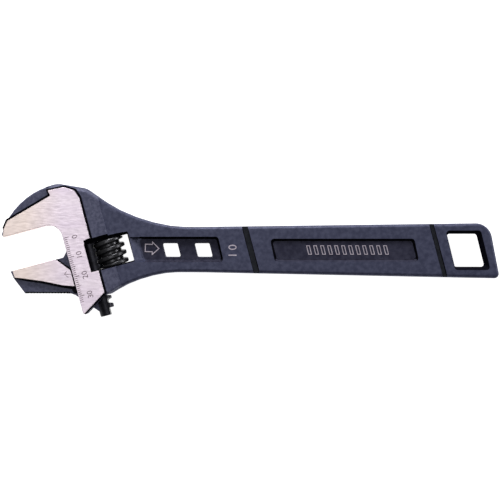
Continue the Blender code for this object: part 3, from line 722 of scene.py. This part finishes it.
def thread_blank():
    """One turn's section swept up the axis, trimmed flat a little past the worm's two ends."""
    root, crest = 5.5, 7.65
    section = [
        (0, -PITCH / 2, 0),
        (root, -PITCH / 2, 0),
        (root, -1.36, 0.3),
        (crest, -0.9, 0.6),
        (crest, 0.9, 0.6),
        (root, 1.36, 0.3),
        (root, PITCH / 2, 0),
        (0, PITCH / 2, 0),
    ]
    turns, start, low_end, high_end = 5, -18.2, -15.2, -0.6
    bm = bmesh.new()
    outline_face(bm, section, 0)
    bmesh.ops.delete(bm, geom=bm.faces[:], context="FACES_ONLY")
    on_axis = [vert for vert in bm.verts if vert.co.x < 1]
    bmesh.ops.delete(bm, geom=on_axis, context="VERTS")
    upright = Matrix.Translation((0, start, 0)) @ Matrix.Rotation(radians(-90), 4, "Y")
    bmesh.ops.transform(bm, matrix=upright, verts=bm.verts)
    bmesh.ops.spin(
        bm,
        geom=bm.verts[:] + bm.edges[:],
        cent=(0, 0, 0),
        axis=(0, 1, 0),
        dvec=(0, PITCH / TURN_STEPS, 0),
        angle=2 * pi * turns,
        steps=TURN_STEPS * turns,
    )
    bmesh.ops.remove_doubles(bm, verts=bm.verts, dist=0.01)
    for y, way in ((low_end, -1), (high_end, 1)):
        whole = bm.verts[:] + bm.edges[:] + bm.faces[:]
        bmesh.ops.bisect_plane(bm, geom=whole, plane_co=(0, y, 0), plane_no=(0, way, 0), clear_outer=True)
    open_edges = [edge for edge in bm.edges if edge.is_boundary]
    bmesh.ops.holes_fill(bm, edges=open_edges)
    return solid("thumb_worm", bm, WORM, BLACKENED)


def thumb_worm():
    ends = [
        (0, -14.65),
        (6.7, -14.65),
        (7.3, -14.5),
        (7.7, -14.0),
        (7.7, -1.7),
        (7.3, -1.2),
        (6.7, -1.05),
        (0, -1.05),
    ]
    bore = [(0, -20), (2.3, -20), (2.3, -5.3), (3.6, -5.3), (3.6, 4), (0, 4)]
    worm = thread_blank()
    worked(worm, "INTERSECT", turned("worm_ends", ends, WORM, BLACKENED))
    worked(worm, "DIFFERENCE", turned("worm_bore", bore, WORM, BLACKENED))
    smooth(worm)
    belongs(worm, "worm", "blackened_steel", "worm")


def screw_pin():
    profile = [
        (0, -24.9),
        (2.25, -24.9),
        (2.6, -24.55),
        (2.6, -21.9),
        (2, -21.9),
        (2, 4.2),
        (1.5, 4.7),
        (0, 4.7),
    ]
    pin = turned("screw_pin", profile, WORM, PIN_STEEL)
    slot = [(-6, -30, 0), (6, -30, 0), (6, -23.8, 0), (-6, -23.8, 0)]
    worked(pin, "DIFFERENCE", slab("driver_slot", slot, 0.4, WORM, PIN_STEEL))
    smooth(pin)
    belongs(pin, "body", "pin_steel", "worm_pin")


def coil_spring():
    turns, steps, length = 4, 24, 3.3
    radius, wire, top = 2.95, 0.35, -1.35
    bm = bmesh.new()
    place = Matrix.Translation((0, top, radius)) @ Matrix.Rotation(radians(90), 4, "Y")
    bmesh.ops.create_circle(bm, segments=10, radius=wire, matrix=place)
    bmesh.ops.spin(
        bm,
        geom=bm.verts[:] + bm.edges[:],
        cent=(0, 0, 0),
        axis=(0, 1, 0),
        dvec=(0, -length / (turns * steps), 0),
        angle=2 * pi * turns,
        steps=turns * steps,
    )
    bmesh.ops.holes_fill(bm, edges=[edge for edge in bm.edges if edge.is_boundary])
    spring = solid("coil_spring", bm, WORM, SPRING_STEEL)
    smooth(spring)
    belongs(spring, "body", "spring_steel", "worm_spring")


# ---------------------------------------------------------------- marks


def bars(name, places, height, depth, place, material, body, slot):
    """Small flat bars in one piece, each (x, y, length, width, turn in degrees), topped at height."""
    bm = bmesh.new()
    for x, y, length, width, turn in places:
        at = Matrix.Translation((x, y, height - depth / 2)) @ Matrix.Rotation(radians(turn), 4, "Z")
        bmesh.ops.create_cube(bm, size=1, matrix=at @ Matrix.Diagonal((length, width, depth, 1)))
    belongs(solid(name, bm, place, material), body, slot)


def numerals(name, labels, size, height, depth, turn, place, material):
    """Numbers, each (text, x, y), as one flat piece topped at height."""
    bm = bmesh.new()
    for text, x, y in labels:
        curve = bpy.data.curves.new(name, "FONT")
        curve.body = text
        curve.size = size
        curve.extrude = depth / 2
        curve.resolution_u = 4
        curve.align_x = "CENTER"
        curve.align_y = "CENTER"
        words = bpy.data.objects.new(name, curve)
        bpy.context.scene.collection.objects.link(words)
        bpy.context.view_layer.update()
        shaped = words.evaluated_get(bpy.context.evaluated_depsgraph_get())
        mesh = bpy.data.meshes.new_from_object(shaped)
        at = Matrix.Translation((x, y, height - depth / 2)) @ Matrix.Rotation(radians(turn), 4, "Z")
        mesh.transform(at)
        bm.from_mesh(mesh)
        bpy.data.objects.remove(words)
    bmesh.ops.remove_doubles(bm, verts=bm.verts, dist=TINY)
    belongs(solid(name, bm, place, material), "body", "black_forging")


def outlined(name, shapes, line, height, depth, material):
    """Shapes drawn as a raised line of one width, topped at height."""
    bm = bmesh.new()
    for corners in shapes:
        verts = [bm.verts.new((x, y, height - depth)) for x, y in corners]
        face = bm.faces.new(verts)
        face.normal_update()
        bmesh.ops.inset_region(bm, faces=[face], thickness=line, use_even_offset=True, use_boundary=True)
        bmesh.ops.delete(bm, geom=[face], context="FACES")
    raise_faces(bm, bm.faces[:], depth)
    belongs(solid(name, bm, FLAT, material), "body", "black_forging")


def scale():
    """A line for each millimetre of travel, longer at fives and tens, and the numbers of the tens."""
    first, edge, line = 4.9, 0.45, 0.34
    ticks = []
    for number in range(34):
        length = 2.6 if number % 10 == 0 else 2.0 if number % 5 == 0 else 1.5
        ticks.append((edge + length / 2, first - number, length, line, 0))
    bars("scale_ticks", ticks, MARK_TOP, 0.1, HEAD, SCALE_MARK, "body", "ground_steel")
    labels = [("0", 6.0, 4.3), ("10", 5.9, -5.1), ("20", 6.0, -15.4), ("30", 6.0, -25.5)]
    numerals("scale_numbers", labels, 3.9, MARK_TOP, 0.1, 90, HEAD, SCALE_MARK)


def jaw_index():
    """The small arrow on the moving jaw that points at the scale."""
    lines = [(-2.3, -13.0, 3.3, 0.3, -12), (-3.2, -12.0, 1.9, 0.28, 40), (-2.9, -13.9, 1.7, 0.28, -50)]
    bars("jaw_index", lines, MARK_TOP, 0.1, HEAD, SCALE_MARK, "jaw", "ground_steel")


def handle_marks():
    """The size number, the arrow behind the worm, and plain strokes along the grip."""
    digits = [("1", -8.5, -2.6), ("0", -8.5, 1.35)]
    numerals("size_number", digits, 5.9, BODY_HALF + 0.08, 0.3, 90, FLAT, PALE_MARK)
    arrow = [
        (-52.7, -1.0),
        (-49.2, -1.1),
        (-49.2, -2.75),
        (-45.3, 0.7),
        (-48.95, 4.5),
        (-49.1, 3.0),
        (-52.6, 3.2),
    ]
    outlined("way_arrow", [arrow], 0.45, WEB_FLOOR + 0.25, 0.5, PALE_MARK)
    first, apart, tall = 28.6, 3.5, 2.3
    strokes = []
    for number in range(12):
        x = first + apart * number
        strokes.append([(x + 0.6, -tall), (x + 2.4, -tall), (x + 1.25, tall), (x - 0.55, tall)])
    outlined("grip_strokes", strokes, 0.35, GRIP_FLOOR + 0.2, 0.4, PALE_MARK)


# ---------------------------------------------------------------- table, light and camera


def table_top():
    """A white floor just under the wrench, lit from within a little so that no shade greys it."""
    half_side, level = 2000, -0.5
    material = bpy.data.materials.new("table_white")
    material.use_nodes = True
    shader = material.node_tree.nodes["Principled BSDF"]
    shader.inputs["Base Color"].default_value = (0.92, 0.92, 0.92, 1)
    shader.inputs["Roughness"].default_value = 0.9
    shader.inputs["Emission Color"].default_value = (1, 1, 1, 1)
    shader.inputs["Emission Strength"].default_value = 0.95
    bm = bmesh.new()
    bmesh.ops.create_grid(bm, x_segments=1, y_segments=1, size=half_side)
    solid("table_top", bm, Matrix.Translation((0, 0, level)), material)


def soft_light(name, place, size, watts):
    """A round lamp that looks at the wrench from its place, in metres."""
    light = bpy.data.lights.new(name, "AREA")
    light.shape = "DISK"
    light.size = size
    light.energy = watts
    lamp = bpy.data.objects.new(name, light)
    lamp.location = place
    lamp.rotation_euler = (-Vector(place)).to_track_quat("-Z", "Y").to_euler()
    bpy.context.scene.collection.objects.link(lamp)


def surroundings():
    scene = bpy.context.scene
    world = bpy.data.worlds.new("studio")
    scene.world = world
    world.use_nodes = True
    background = world.node_tree.nodes["Background"]
    background.inputs["Color"].default_value = (1, 1, 1, 1)
    background.inputs["Strength"].default_value = 0.12
    scene.view_settings.view_transform = "Standard"
    soft_light("key", (-0.1, 0.95, 0.45), 0.5, 9)
    soft_light("overhead", (-0.2, 0.15, 1.3), 0.8, 2.6)
    soft_light("right_side", (0.9, 0.35, 0.35), 0.4, 2.5)


def camera():
    """Looks straight down, a metre above the handle's face, on a square a quarter of a metre wide."""
    distance, face_level, shown = 1.0, 0.0125, 0.25
    lens = bpy.data.cameras.new("straight_down")
    lens.sensor_width = 36
    lens.lens = lens.sensor_width * distance / shown
    lens.clip_start = 0.01
    eye = bpy.data.objects.new("straight_down", lens)
    eye.location = (0, 0, distance + face_level)
    bpy.context.scene.collection.objects.link(eye)
    bpy.context.scene.camera = eye


camera()
surroundings()
table_top()
forged_body()
sliding_jaw()
thumb_worm()
screw_pin()
coil_spring()
scale()
jaw_index()
handle_marks()
